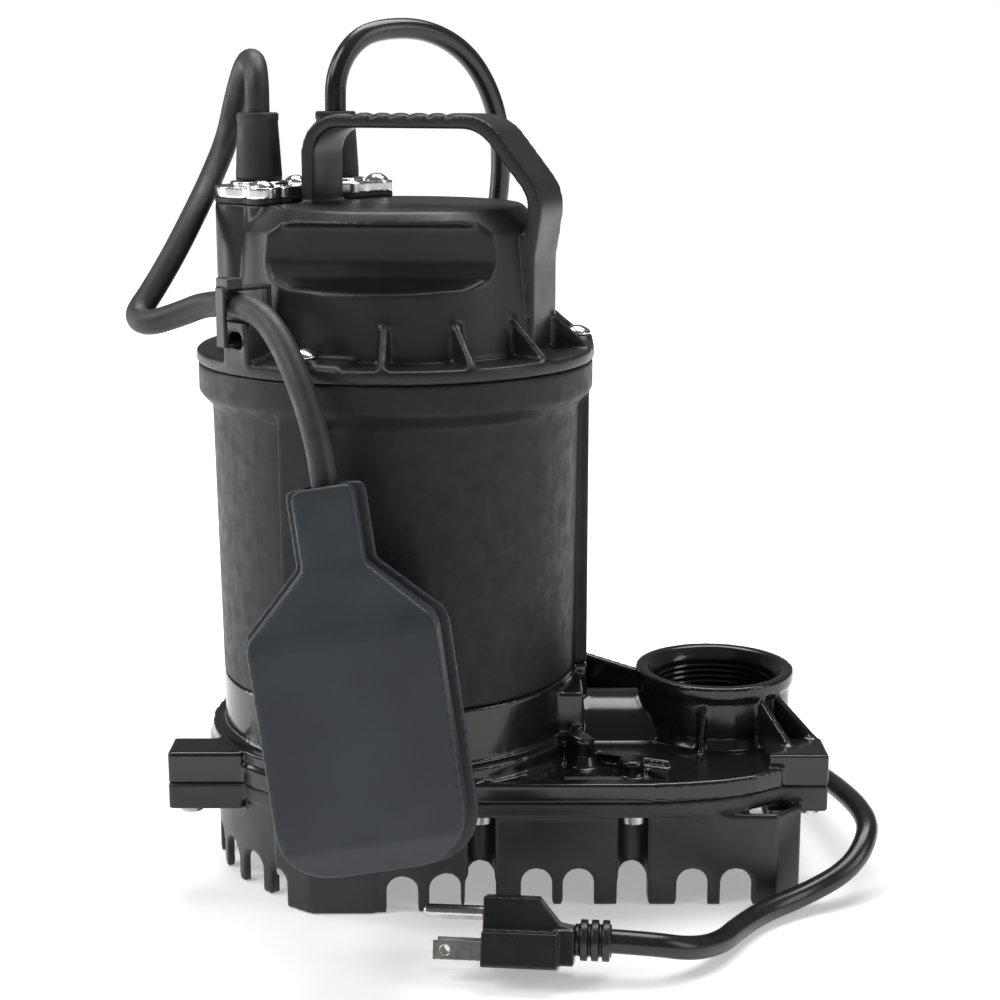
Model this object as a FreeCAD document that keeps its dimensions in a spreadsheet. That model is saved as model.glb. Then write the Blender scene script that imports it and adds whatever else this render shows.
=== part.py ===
import FreeCAD, Part
import math
import os
import Sketcher

# A submersible sump pump with a tethered float switch, in millimetres, +Z up, standing on z = 0.
# The origin is under the middle of the pump. Most pieces are drawn about the motor's axis and then
# moved as a whole by motor_x and motor_y.

SIZES = {
    # the motor's axis in the pump's own frame
    "motor_x": -35.5,
    "motor_y": 29.5,
    # outline that the strainer base and the volute share, seen from above
    "wall": 3.0,
    "skirt_radius": 69.5,
    "skirt_side": 62.5,
    "corner_x": 136.0,
    "skirt_end": 146.0,
    "end_side": 53.0,
    "flange_lip": 4.0,
    # heights above the floor
    "skirt_top": 34.0,
    "base_top": 40.0,
    "flange_top": 46.0,
    "collar_top": 72.6,
    "housing_top": 188.6,
    "cap_flange_top": 193.5,
    "dome_top": 244.0,
    "boot_top": 276.0,
    # strainer base
    "arch_width": 11.0,
    "arch_height": 13.5,
    "eye_radius": 19.0,
    "pad_front": 70.0,
    "column_front_x": 31.0,
    "column_far_x": 85.2,
    "screw_side": 60.0,
    "channel_radius": 5.3,
    "lug_low": 30.0,
    "left_lug_x": -74.5,
    "left_lug_y": -38.5,
    "lug_left_end": -81.5,
    "right_lug_x": 150.3,
    "right_lug_y": -40.0,
    "lug_right_end": 156.0,
    "lug_half": 8.5,
    "lug_rise": 5.5,
    "screw_radius": 2.2,
    # volute
    "rim_width": 2.2,
    "rim_height": 1.0,
    "collar_radius": 66.0,
    "chamber_radius": 56.0,
    "chamber_top": 62.0,
    "seal_bore": 21.0,
    "outlet_x": 119.5,
    "outlet_top": 70.0,
    "outlet_radius": 28.5,
    "outlet_lip": 29.8,
    "thread_radius": 22.7,
    "mouth_radius": 26.0,
    "duct_radius": 20.0,
    "duct_bore": 16.0,
    "post_radius": 5.0,
    "scroll_radius": 71.0,
    "scroll_top": 52.0,
    "throat_end": 68.5,
    # motor housing
    "can_low_radius": 66.0,
    "can_high_radius": 67.3,
    "can_bore": 62.2,
    "can_floor": 78.6,
    "band_radius": 72.0,
    "band_low": 173.0,
    "band_full": 178.0,
    "pilaster_width": 17.0,
    "pilaster_radius": 70.5,
    "bolt_circle": 66.3,
    # motor cap
    "cap_flange_radius": 72.5,
    "dome_low_radius": 57.5,
    "dome_high_radius": 54.0,
    "dome_crown": 46.0,
    "dome_edge": 236.0,
    "cap_bore": 52.0,
    "gusset_top": 212.0,
    "gusset_thick": 3.0,
    "screw_pad_top": 196.5,
    "flange_step": 1.4,
    "bracket_near": 60.0,
    "bracket_far": 73.0,
    "bracket_top": 207.5,
    # handle strap
    "strap_width": 26.0,
    "strap_thick": 5.0,
    "grip_height": 273.4,
    "grip_groove": 2.2,
    # cable glands
    "float_gland_x": -50.0,
    "float_gland_y": 10.0,
    "power_gland_x": -23.9,
    "power_gland_y": 36.5,
    "gland_boss": 16.2,
    "float_plate_radius": 16.2,
    "power_plate_radius": 13.2,
    "gland_ear_radius": 6.0,
    "gland_ear_reach": 16.5,
    "gasket_thick": 2.0,
    "gland_plate_thick": 4.0,
    "boot_low_radius": 8.5,
    "boot_high_radius": 7.0,
    "boot_tail_radius": 7.8,
    # rotor
    "shaft_radius": 7.5,
    "shaft_end_radius": 6.0,
    "shaft_low": 37.0,
    "shaft_high": 180.0,
    "rotor_radius": 27.0,
    "core_low": 102.0,
    "core_high": 152.0,
    "stator_bore": 27.6,
    "impeller_radius": 45.0,
    "impeller_low": 42.0,
    "impeller_high": 56.0,
    "impeller_hub": 12.0,
    # ball bearing 6202 at the bottom of the motor and a bronze sleeve at the top
    "bearing_low": 80.0,
    "bearing_width": 11.0,
    "bearing_outer": 17.5,
    "ball_pitch": 12.5,
    "ball_radius": 2.95,
    "sleeve_low": 168.0,
    "sleeve_high": 182.0,
    "sleeve_outer": 9.0,
    "running_clearance": 0.04,
    "bell_low": 170.0,
    "bell_thick": 5.0,
    # run capacitor
    "capacitor_radius": 17.0,
    "capacitor_height": 52.0,
    "capacitor_x": 26.0,
    "capacitor_y": 15.0,
    # cords and wires
    "lead_radius": 1.1,
    "power_cord_radius": 3.95,
    "float_cord_radius": 4.45,
    "coil_outer": 50.0,
    "coil_inner": 34.0,
    "coil_height": 32.0,
    # float switch
    "float_thick": 40.0,
    "float_wall": 2.6,
    "neck_half": 13.2,
    "neck_depth": 12.2,
    "float_half": 33.7,
    "float_length": 128.0,
    "seam_half": 1.6,
    "seam_inset": 3.0,
    # mains plug
    "relief_length": 12.0,
    "plug_length": 30.0,
    "plug_half": 11.5,
    "plug_drop": 9.0,
    "lobe_top": 13.2,
    "blade_spacing": 12.7,
    "pin_offset": 11.9,
}

PILASTER_ANGLES = (2.0, -115.0, 121.0)
GUSSET_ANGLES = (-91.0, -66.0, -41.0, -12.0, 14.0, 40.0, 66.0, 92.0, 148.0)
HANDLE_ANGLE = -20.0
BRACKET_ANGLE = -136.0
FLOAT_GLAND_ANGLE = -80.0
POWER_GLAND_ANGLE = 27.0

doc = FreeCAD.newDocument("SumpPump")
sheet = doc.addObject("Spreadsheet::Sheet", "Sizes")
for row, (alias, size) in enumerate(SIZES.items(), start=1):
    sheet.set(f"A{row}", str(size))
    sheet.setAlias(f"A{row}", alias)
doc.recompute()

X_AXIS = FreeCAD.Vector(1, 0, 0)
Y_AXIS = FreeCAD.Vector(0, 1, 0)
Z_AXIS = FreeCAD.Vector(0, 0, 1)
ALONG = {
    "X": FreeCAD.Rotation(Y_AXIS, 90),
    "Y": FreeCAD.Rotation(X_AXIS, -90),
    "Z": FreeCAD.Rotation(),
}
nodes = []


class Dim:
    """A size in millimetres together with the sheet formula that gives it."""

    def __init__(self, value, formula):
        self.value = float(value)
        self.formula = formula

    def __add__(self, other):
        other = dim(other)
        return Dim(self.value + other.value, f"({self.formula} + {other.formula})")

    def __sub__(self, other):
        other = dim(other)
        return Dim(self.value - other.value, f"({self.formula} - {other.formula})")

    def __mul__(self, factor):
        return Dim(self.value * factor, f"({self.formula} * {factor:.6f})")

    def __radd__(self, other):
        return dim(other) + self

    def __rsub__(self, other):
        return dim(other) - self

    __rmul__ = __mul__

    def __truediv__(self, divisor):
        return self * (1.0 / divisor)

    def __neg__(self):
        return self * -1.0


def dim(size):
    """Any plain number as a Dim."""
    return size if isinstance(size, Dim) else Dim(size, f"{size:.4f}")


class Sheet:
    """Sizes by name, each one bound to its cell."""

    def __getattr__(self, alias):
        return Dim(SIZES[alias], f"Sizes.{alias}")


S = Sheet()


# ---- helpers: bound primitives, booleans, sketched solids -------------------------------------

def bind(part, prop, size):
    part.setExpression(prop, dim(size).formula)


def place(part, at, turn=0.0, along="Z"):
    """Put a piece at a point of a frame that is turned about the motor's axis."""
    x, y, z = (dim(v) for v in at)
    cos, sin = math.cos(math.radians(turn)), math.sin(math.radians(turn))
    rotation = FreeCAD.Rotation(Z_AXIS, turn) * ALONG[along]
    part.Placement = FreeCAD.Placement(FreeCAD.Vector(), rotation)
    bind(part, "Placement.Base.x", x * cos - y * sin)
    bind(part, "Placement.Base.y", x * sin + y * cos)
    bind(part, "Placement.Base.z", z)
    return part


def box(low, high, turn=0.0):
    """Block between two corners."""
    low = [dim(v) for v in low]
    part = doc.addObject("Part::Box", "Block")
    for prop, start, end in zip(("Length", "Width", "Height"), low, high):
        bind(part, prop, dim(end) - start)
    return place(part, low, turn)


def rod(at, radius, length, turn=0.0, along="Z"):
    part = doc.addObject("Part::Cylinder", "Rod")
    bind(part, "Radius", radius)
    bind(part, "Height", length)
    return place(part, at, turn, along)


def cone(at, low_radius, high_radius, length, turn=0.0, along="Z"):
    part = doc.addObject("Part::Cone", "Cone")
    bind(part, "Radius1", low_radius)
    bind(part, "Radius2", high_radius)
    bind(part, "Height", length)
    return place(part, at, turn, along)


def ball(at, radius, turn=0.0):
    part = doc.addObject("Part::Sphere", "Ball")
    bind(part, "Radius", radius)
    return place(part, at, turn)


def fuse(parts):
    if len(parts) == 1:
        return parts[0]
    part = doc.addObject("Part::MultiFuse", "Fusion")
    part.Shapes = parts
    return part


def cut(base, tools):
    part = doc.addObject("Part::Cut", "Cut")
    part.Base = base
    part.Tool = fuse(tools)
    return part


def common(parts):
    part = doc.addObject("Part::MultiCommon", "Common")
    part.Shapes = parts
    return part


def ring(at, inner, outer, length, turn=0.0, along="Z"):
    """Tube with square ends."""
    x, y, z = at
    start = {"X": (x - 1, y, z), "Y": (x, y - 1, z), "Z": (x, y, z - 1)}[along]
    hole = rod(start, inner, dim(length) + 2, turn, along)
    return cut(rod(at, outer, length, turn, along), [hole])


def sketch_on(body, role, points):
    """Closed outline of straight edges; each corner is held at its own bound distances."""
    plane = [o for o in body.Origin.OriginFeatures if o.Role == role][0]
    sketch = body.newObject("Sketcher::SketchObject", "Outline")
    sketch.AttachmentSupport = [(plane, "")]
    sketch.MapMode = "FlatFace"
    corners = [(dim(a), dim(b)) for a, b in points]
    spots = [FreeCAD.Vector(a.value, b.value, 0) for a, b in corners]
    count = len(spots)
    for i in range(count):
        sketch.addGeometry(Part.LineSegment(spots[i], spots[(i + 1) % count]), False)
    for i in range(count):
        sketch.addConstraint(Sketcher.Constraint("Coincident", i, 2, (i + 1) % count, 1))
    for i, (a, b) in enumerate(corners):
        for kind, size in (("DistanceX", a), ("DistanceY", b)):
            number = sketch.addConstraint(Sketcher.Constraint(kind, -1, 1, i, 1, size.value))
            sketch.setExpression(f"Constraints[{number}]", size.formula)
    return sketch


def revolved(points):
    """Solid of revolution about Z from its half section, given as (radius, height) corners."""
    body = doc.addObject("PartDesign::Body", "Turning")
    sketch = sketch_on(body, "XZ_Plane", points)
    turn = body.newObject("PartDesign::Revolution", "Revolution")
    turn.Profile = sketch
    turn.ReferenceAxis = (sketch, ["V_Axis"])
    turn.Angle = 360.0
    return body


def extruded(points, low, high):
    """Prism with a flat outline in XY between two heights."""
    body = doc.addObject("PartDesign::Body", "Prism")
    sketch = sketch_on(body, "XY_Plane", points)
    bind(sketch, "AttachmentOffset.Base.z", low)
    pad = body.newObject("PartDesign::Pad", "Pad")
    pad.Profile = sketch
    bind(pad, "Length", dim(high) - low)
    return body


def upright(points, thick, turn=0.0):
    """Flat plate that stands in a plane through the motor's axis, given as (radius, height)."""
    body = doc.addObject("PartDesign::Body", "Plate")
    sketch = sketch_on(body, "XZ_Plane", points)
    pad = body.newObject("PartDesign::Pad", "Pad")
    pad.Profile = sketch
    pad.Midplane = True
    bind(pad, "Length", thick)
    body.Placement = FreeCAD.Placement(FreeCAD.Vector(), FreeCAD.Rotation(Z_AXIS, turn))
    return body


def posed(parts, base, rotation):
    """Pieces drawn in a frame of their own, moved together."""
    group = doc.addObject("Part::Compound", "Posed")
    group.Links = parts
    group.Placement = FreeCAD.Placement(FreeCAD.Vector(), rotation)
    for axis, size in zip("xyz", base):
        bind(group, f"Placement.Base.{axis}", size)
    return group


def node(name, parts, about_motor=True):
    """One sub-part of the pump. It is drawn about the motor's axis unless told otherwise."""
    group = doc.addObject("Part::Compound", "Node")
    group.Label = name
    group.Links = parts
    if about_motor:
        bind(group, "Placement.Base.x", S.motor_x)
        bind(group, "Placement.Base.y", S.motor_y)
    nodes.append(group)
    return group


# ---- cords and straps: straight runs joined by tangent arcs -----------------------------------

def bend_radii(points):
    """Largest arc at each inner point that leaves a tenth of the shorter run straight."""
    radii = []
    for a, b, c in zip(points, points[1:], points[2:]):
        first, second = b - a, c - b
        turn = first.getAngle(second)
        radii.append(0.45 * min(first.Length, second.Length) / math.tan(turn / 2))
    return radii


def bent_path(points, radii):
    """Wire of straight runs with a tangent arc of the given radius at each inner point."""
    edges = []
    start = points[0]
    for b, c, radius, a in zip(points[1:], points[2:], radii, points):
        into, out = (b - a).normalize(), (c - b).normalize()
        half = into.getAngle(out) / 2
        reach = radius * math.tan(half)
        first, last = b - into * reach, b + out * reach
        inward = (out - into).normalize()
        middle = b + inward * (radius / math.cos(half) - radius)
        edges.append(Part.LineSegment(start, first).toShape())
        edges.append(Part.Arc(first, middle, last).toShape())
        start = last
    edges.append(Part.LineSegment(start, points[-1]).toShape())
    path = doc.addObject("Part::Feature", "Path")
    path.Shape = Part.Wire(edges)
    return path


def swept(path, section):
    sweep = doc.addObject("Part::Sweep", "Sweep")
    sweep.Sections = [section]
    sweep.Spine = (path, [f"Edge{i + 1}" for i in range(len(path.Shape.Edges))])
    sweep.Solid = True
    sweep.Frenet = False
    return sweep


def tube(label, route, radius):
    """Round cord along a route; prints its bends and compares its volume with section x length."""
    points = [FreeCAD.Vector(*p) for p in route]
    radii = bend_radii(points)
    path = bent_path(points, radii)
    section = doc.addObject("Part::Circle", "Section")
    facing = FreeCAD.Rotation(Z_AXIS, points[1] - points[0])
    section.Placement = FreeCAD.Placement(points[0], facing)
    bind(section, "Radius", radius)
    cord = swept(path, section)
    doc.recompute()
    length = path.Shape.Length
    ideal = math.pi * radius.value ** 2 * length
    bends = " ".join(f"{r:.0f}" for r in radii)
    print(f"{label}: length {length:.0f}, volume ratio {cord.Shape.Volume / ideal:.4f}, radii {bends}")
    return cord


# ---- strainer base and volute -----------------------------------------------------------------

def outline_solid(grow, low, high, rounded=False):
    """Drop-shaped outline: round under the motor, straight sides, cut corners at the outlet."""
    side, end, round_radius = S.skirt_side + grow, S.skirt_end + grow, S.skirt_radius + grow
    near_corner = [(S.corner_x + 0.5 * dim(grow), -side), (end, -S.end_side)]
    if rounded:
        round_radius -= 1.2
        near_corner = [
            (end - back, -side + drop)
            for back, drop in ((60, 0), (46, 1.6), (33, 4.2), (21, 8.6), (11.5, 15), (4.5, 24.5), (0.8, 37), (0, 50))
        ]
    far_corner = [(x, -1 * y) for x, y in reversed(near_corner)]
    points = [(0, -side)] + near_corner + far_corner + [(0, side)]
    round_end = rod((0, 0, low), round_radius, dim(high) - low)
    return fuse([round_end, extruded(points, low, high)])


def arch(at, turn):
    """Round-topped intake slot that cuts the skirt; local X points out through the wall."""
    radius = S.arch_width / 2
    reach, side = at
    low = (reach - 12, side - radius, -1)
    high = (reach + 12, side + radius, S.arch_height - radius)
    crown = rod((reach - 12, side, S.arch_height - radius), radius, 24, turn, along="X")
    return [box(low, high, turn), crown]


def intake_arches():
    tools = []
    for step in range(11):
        tools += arch((S.skirt_radius, 0), 102 + 13.3 * step)
    for side in (-1, 1):
        for x in (3.5, 18.5, S.column_front_x, 51.0, 66.0, S.column_far_x, 106.5, 122.0):
            tools += arch((S.skirt_side, -side * dim(x)), side * 90)
    for y in (-36.0, -18.0, 0.0, 18.0, 36.0):
        tools += arch((S.skirt_end, y), 0)
    return tools


def screw_spots(low, high, radius):
    """Rods where the long sides' four screws come up, each in a channel of the skirt."""
    spots = []
    for x in (S.column_front_x, S.column_far_x):
        for y in (-S.screw_side, S.screw_side):
            spots.append(rod((x, y, low), radius, dim(high) - low))
    return spots


def channel_blocks():
    blocks = []
    for x in (S.column_front_x, S.column_far_x):
        for side in (-1, 1):
            near, far = side * (S.skirt_side - 10), side * (S.skirt_side - 0.2)
            low_y, high_y = (near, far) if side > 0 else (far, near)
            blocks.append(box((x - 8, low_y, 0), (x + 8, high_y, S.skirt_top)))
    return blocks


def lug_rods(low_left, low_right, high, radius):
    left = rod((S.left_lug_x, S.left_lug_y, low_left), radius, dim(high) - low_left)
    right = rod((S.right_lug_x, S.right_lug_y, low_right), radius, dim(high) - low_right)
    return [left, right]


def lug_blocks(low, high):
    """The two lugs at the front, one by the motor and one at the outlet's corner."""
    half = S.lug_half
    left = box((S.lug_left_end, S.left_lug_y - half, low), (-55, S.left_lug_y + half, high))
    right = box((134, S.right_lug_y - half - 1, low), (S.lug_right_end, S.right_lug_y + half + 1, high))
    return [left, right]


def strainer_base():
    shell = cut(outline_solid(0, 0, S.skirt_top), [outline_solid(-S.wall, -1, S.skirt_top + 1)])
    plate = outline_solid(S.flange_lip - 0.5, S.skirt_top, S.base_top, rounded=True)
    pad_points = [(-42, -50), (-42, -61), (-29, -S.pad_front), (-6, -S.pad_front), (-3.5, -62), (-4, -50)]
    pad = extruded(pad_points, 0, S.skirt_top)
    eye_lip = rod((0, 0, S.skirt_top - 8), S.eye_radius + 3, 8)
    ribs = [box((24, -1.5, 20), (S.skirt_end - 1, 1.5, S.skirt_top + 1), 0)]
    ribs += [box((20, -1.5, 20), (S.skirt_radius - 1, 1.5, S.skirt_top + 1), turn) for turn in (135, 180, 225)]
    solids = [shell, plate, pad, eye_lip] + ribs + lug_blocks(S.lug_low, S.base_top) + channel_blocks()
    holes = [rod((0, 0, 20), S.eye_radius, 30)] + intake_arches()
    holes += screw_spots(-1, S.base_top + 1, S.screw_radius)
    holes += screw_spots(-1, S.skirt_top, S.channel_radius)
    holes += lug_rods(14, 14, S.base_top + 1, S.screw_radius)
    node("strainer_base", [cut(fuse(solids), holes)])


def collar_pads(low, high, near, far):
    """Raised pads on the round wall, one in line with each long screw."""
    half = S.pilaster_width / 2
    return [box((near, -half, low), (far, half, high), turn) for turn in PILASTER_ANGLES]


def long_holes(low, high, radius):
    return [rod((S.bolt_circle, 0, low), radius, dim(high) - low, turn) for turn in PILASTER_ANGLES]


def volute():
    plate = outline_solid(S.flange_lip, S.base_top, S.flange_top, rounded=True)
    rim = cut(
        outline_solid(S.flange_lip, S.flange_top - 1, S.flange_top + S.rim_height, rounded=True),
        [outline_solid(S.flange_lip - S.rim_width, S.flange_top - 2, S.flange_top + 3, rounded=True)],
    )
    collar = rod((0, 0, S.base_top), S.collar_radius, S.collar_top - S.base_top)
    pads = collar_pads(S.base_top, S.collar_top, 58, S.pilaster_radius)
    scroll = rod((0, 0, S.base_top), S.scroll_radius, S.scroll_top - S.base_top)
    throat = box((50, -30, S.base_top), (S.throat_end, 30, S.collar_top - 4))
    duct = rod((50, 0, S.base_top), S.duct_radius, S.outlet_x - 50, along="X")
    tower = rod((S.outlet_x, 0, S.base_top), S.outlet_radius, S.outlet_top - S.base_top)
    lip = rod((S.outlet_x, 0, S.outlet_top - 5), S.outlet_lip, 5)
    foot = cone((S.outlet_x, 0, S.flange_top - 1), S.outlet_radius + 2.5, S.outlet_radius, 4.5)
    post_a = rod((67.5, -36, S.base_top), S.post_radius, 16)
    post_a_foot = cone((67.5, -36, S.base_top), S.post_radius + 4, S.post_radius, 7.5)
    slant = posed([box((-12, -12, 0), (12, 12, 9))], (67.5, -36, 54.6), FreeCAD.Rotation(Y_AXIS, 18))
    post_b = rod((85, -47, S.base_top), S.post_radius - 0.3, 9.5)
    strip = posed([box((0, -1.8, S.base_top), (36, 1.8, S.flange_top + 2.4))], (66, -32, 0),
                  FreeCAD.Rotation(Z_AXIS, -22))
    web_points = [(0, S.base_top), (41, S.base_top), (41, 60), (33, 61.5), (12, 66.6), (0, 68)]
    web = posed([upright(web_points, 3.4)], (57, 33.5, 0), FreeCAD.Rotation(Z_AXIS, -14))
    lug_top = S.flange_top + S.lug_rise
    brace = [(S.outlet_radius - 2, S.flange_top - 1), (47, S.flange_top - 1), (47, lug_top + 0.5), (S.outlet_radius, 65)]
    braces = [posed([upright(brace, 2.6, turn)], (S.outlet_x, 0, 0), FreeCAD.Rotation()) for turn in (-59, -43)]
    fin_points = [(26, S.base_top), (34.5, S.base_top), (34, S.flange_top + 1), (29, 62), (26, 62)]
    fin = posed([upright(fin_points, 2.2, -104)], (S.outlet_x, 0, 0), FreeCAD.Rotation())
    solids = [plate, rim, collar, scroll, throat, duct, tower, lip, foot, cut(post_a, [slant]), post_a_foot]
    solids += [post_b, strip, web, fin]
    solids += pads + braces + lug_blocks(S.base_top, lug_top)
    chamber = rod((0, 0, S.base_top - 1), S.chamber_radius, S.chamber_top - S.base_top + 1)
    seal_hole = rod((0, 0, S.chamber_top - 1), S.seal_bore, S.collar_top - S.chamber_top + 2)
    channel = rod((40, 0, S.base_top - 0.01), S.duct_bore, S.outlet_x - 40, along="X")
    bore = rod((S.outlet_x, 0, S.base_top - 1), S.thread_radius, S.outlet_top - S.base_top + 2)
    mouth = cone((S.outlet_x, 0, S.outlet_top - 4), S.thread_radius, S.mouth_radius, 4.01)
    groove = ring((0, 0, S.collar_top - 1.5), 59, 61.5, 2.5)
    pocket_points = [(46, -58), (98, -58), (84, -39), (66, -33)]
    pocket = extruded(pocket_points, S.flange_top - 2.5, S.flange_top + 1)
    pocket = cut(pocket, [post_a_foot, rod((85, -47, 0), S.post_radius - 0.3, 90)])
    below = box((-140, -90, 0), (170, 90, S.base_top))
    holes = [chamber, seal_hole, channel, bore, mouth, groove, pocket, below]
    holes += screw_spots(S.base_top - 1, S.flange_top - 1.5, S.screw_radius)
    holes += lug_rods(S.base_top - 1, S.base_top - 1, S.flange_top, S.screw_radius)
    holes += long_holes(S.base_top - 1, S.collar_top + 1, S.screw_radius)
    holes += long_holes(S.base_top - 1, S.base_top + 6, 4.2)
    node("volute", [cut(fuse(solids), holes)])


def base_fasteners():
    screws = []
    for x in (S.column_front_x, S.column_far_x):
        for y in (-S.screw_side, S.screw_side):
            shank = rod((x, y, S.skirt_top), S.screw_radius, S.flange_top - 1.5 - S.skirt_top)
            head = rod((x, y, S.skirt_top - 3), 4.2, 3)
            screws.append(fuse([shank, head]))
    for x, y in ((S.left_lug_x, S.left_lug_y), (S.right_lug_x, S.right_lug_y)):
        shank = rod((x, y, S.lug_low), S.screw_radius, S.flange_top - S.lug_low)
        head = rod((x, y, S.lug_low - 2.6), 4.2, 2.6)
        screws.append(fuse([shank, head]))
    node("base_screws", screws)
    bolts = []
    for turn in PILASTER_ANGLES:
        shank = rod((S.bolt_circle, 0, S.base_top + 6), S.screw_radius, 42, turn)
        head = rod((S.bolt_circle, 0, S.base_top + 2), 4.0, 4, turn)
        bolts.append(fuse([shank, head]))
    node("volute_bolts", bolts)
    node("volute_seal_ring", [ring((0, 0, S.collar_top - 1.5), 59, 61.5, 1.5)])
    label = box((61, -56, S.flange_top - 2.5), (82, -51, S.flange_top - 1.9))
    node("rating_label", [label])


# ---- motor housing, cap and handle ------------------------------------------------------------

def motor_housing():
    section = [
        (S.can_low_radius, S.collar_top),
        (S.can_high_radius, S.band_low),
        (S.band_radius, S.band_full),
        (S.band_radius, S.housing_top),
        (S.can_bore, S.housing_top),
        (S.can_bore, S.can_floor),
        (S.bearing_outer + 4, S.can_floor),
        (S.bearing_outer + 4, S.bearing_low + S.bearing_width + 1),
        (S.bearing_outer, S.bearing_low + S.bearing_width + 1),
        (S.bearing_outer, S.bearing_low),
        (10.5, S.bearing_low),
        (10.5, S.collar_top + 3.4),
        (14, S.collar_top + 3.4),
        (14, S.collar_top),
    ]
    pads = collar_pads(S.collar_top, S.band_full, 64, S.pilaster_radius)
    shell = fuse([revolved(section)] + pads)
    groove = ring((0, 0, S.housing_top - 1.5), 62.9, 63.9, 2.5)
    holes = long_holes(S.collar_top - 1, 88, S.screw_radius)
    holes += long_holes(160, S.housing_top + 1, S.screw_radius)
    node("motor_housing", [cut(shell, holes + [groove])])
    node("cap_seal_ring", [ring((0, 0, S.housing_top - 1.5), 62.9, 63.9, 1.5)])


def handle_strap():
    """Flat strap from the dome's top, over the grip and down the dome's outlet side."""
    height = S.grip_height.value
    corners = [(-28.5, 238), (-28.5, height), (38, height), (58.5, 248), (55, 226), (55, 191)]
    points = [FreeCAD.Vector(u, 0, z) for u, z in corners]
    path = bent_path(points, (12.0, 16.0, 16.0, 40.0))
    section = doc.addObject("Part::Plane", "StrapSection")
    bind(section, "Length", S.strap_thick)
    bind(section, "Width", S.strap_width)
    bind(section, "Placement.Base.x", corners[0][0] - S.strap_thick / 2)
    bind(section, "Placement.Base.y", -S.strap_width / 2)
    bind(section, "Placement.Base.z", corners[0][1])
    strap = swept(path, section)
    grooves = []
    for step in range(6):
        groove = box((-S.grip_groove / 2, -30, 0), (S.grip_groove / 2, 30, 3))
        spot = (-15.5 + 7.2 * step, 0, height + S.strap_thick.value / 2 - 0.9)
        grooves.append(posed([groove], spot, FreeCAD.Rotation(Z_AXIS, 22)))
    return posed([cut(strap, grooves)], (0, 0, 0), FreeCAD.Rotation(Z_AXIS, HANDLE_ANGLE))


def bracket_block():
    block = box((S.bracket_near, -7, S.cap_flange_top - 1), (S.bracket_far, 7, S.bracket_top), BRACKET_ANGLE)
    eye = box((S.bracket_near - 1, -3.5, 198.5), (S.bracket_far + 1, 3.5, 203.5), BRACKET_ANGLE)
    return cut(block, [eye])


def motor_cap():
    section = [
        (0, S.housing_top),
        (S.cap_flange_radius, S.housing_top),
        (S.cap_flange_radius, S.cap_flange_top),
        (S.dome_low_radius, S.cap_flange_top),
        (S.dome_high_radius, S.dome_edge),
        (S.dome_crown, S.dome_top),
        (0, S.dome_top),
    ]
    boss_height = S.dome_top - S.cap_flange_top + 1
    boss = rod((S.float_gland_x, S.float_gland_y, S.cap_flange_top - 1), S.gland_boss, boss_height)
    wedge = [
        (S.dome_high_radius - 3, S.cap_flange_top - 1),
        (S.cap_flange_radius - 1, S.cap_flange_top - 1),
        (S.cap_flange_radius - 1, S.cap_flange_top + 1),
        (S.dome_high_radius - 3, S.gusset_top),
    ]
    gussets = [upright(wedge, S.gusset_thick, turn) for turn in GUSSET_ANGLES]
    pads = [
        rod((S.bolt_circle, 0, S.cap_flange_top - 1), 5.8, S.screw_pad_top - S.cap_flange_top + 1, turn)
        for turn in PILASTER_ANGLES
    ]
    low_ring = ring((0, 0, S.cap_flange_top - 1), S.dome_low_radius - 2, S.cap_flange_radius - 1.6,
                    S.flange_step + 1)
    steps = [common([low_ring, box((50, -15, 180), (80, 15, 210), turn)]) for turn in PILASTER_ANGLES]
    ears = [
        rod((gx, gy, S.dome_top - 12), S.gland_ear_radius, 12)
        for gx, gy in gland_ears()
    ]
    solids = [revolved(section), boss, handle_strap(), bracket_block()] + gussets + pads + steps + ears
    recess_points = [(37.5, 239), (37.5, 226), (40, 221), (45, 218.3), (64, 216.2), (64, 240.5), (50, 240)]
    recess = upright(recess_points, 84, -95)
    room = rod((0, 0, S.housing_top - 1), S.cap_bore, S.dome_edge - S.housing_top + 1)
    room = common([room, box((-60, -34, 180), (60, 60, 240), -5)])
    holes = [recess, room] + long_holes(S.housing_top - 1, S.screw_pad_top + 1, S.screw_radius)
    holes += [
        rod((x, y, S.dome_edge - 12), S.boot_tail_radius, 22)
        for x, y in ((S.float_gland_x, S.float_gland_y), (S.power_gland_x, S.power_gland_y))
    ]
    holes += [rod((x, y, S.dome_top - 9), 1.9, 10) for x, y in gland_ears()]
    node("motor_cap", [cut(fuse(solids), holes)])


def cap_fasteners():
    screws = []
    for turn in PILASTER_ANGLES:
        shank = rod((S.bolt_circle, 0, 162), S.screw_radius, S.screw_pad_top - 162, turn)
        head = common([
            ball((S.bolt_circle, 0, S.screw_pad_top - 3.4), 6.6, turn),
            rod((S.bolt_circle, 0, S.screw_pad_top), 5.2, 4, turn),
        ])
        screws.append(fuse([shank, head]))
    node("cap_screws", screws)


def cable_tie():
    inner_low, inner_high = 59.8, 77.2
    loop = cut(
        box((inner_low - 1.5, -2.4, 199.0), (inner_high + 1.5, 2.4, 219.3), BRACKET_ANGLE),
        [box((inner_low, -3, 200.5), (inner_high, 3, 217.8), BRACKET_ANGLE)],
    )
    head = box((71.5, -3.5, 218.5), (77.5, 3.5, 222.5), BRACKET_ANGLE)
    node("cable_tie", [fuse([loop, head])])


# ---- cable glands -----------------------------------------------------------------------------

GLANDS = (
    ("float", S.float_gland_x, S.float_gland_y, FLOAT_GLAND_ANGLE, S.float_plate_radius),
    ("power", S.power_gland_x, S.power_gland_y, POWER_GLAND_ANGLE, S.power_plate_radius),
)


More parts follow.
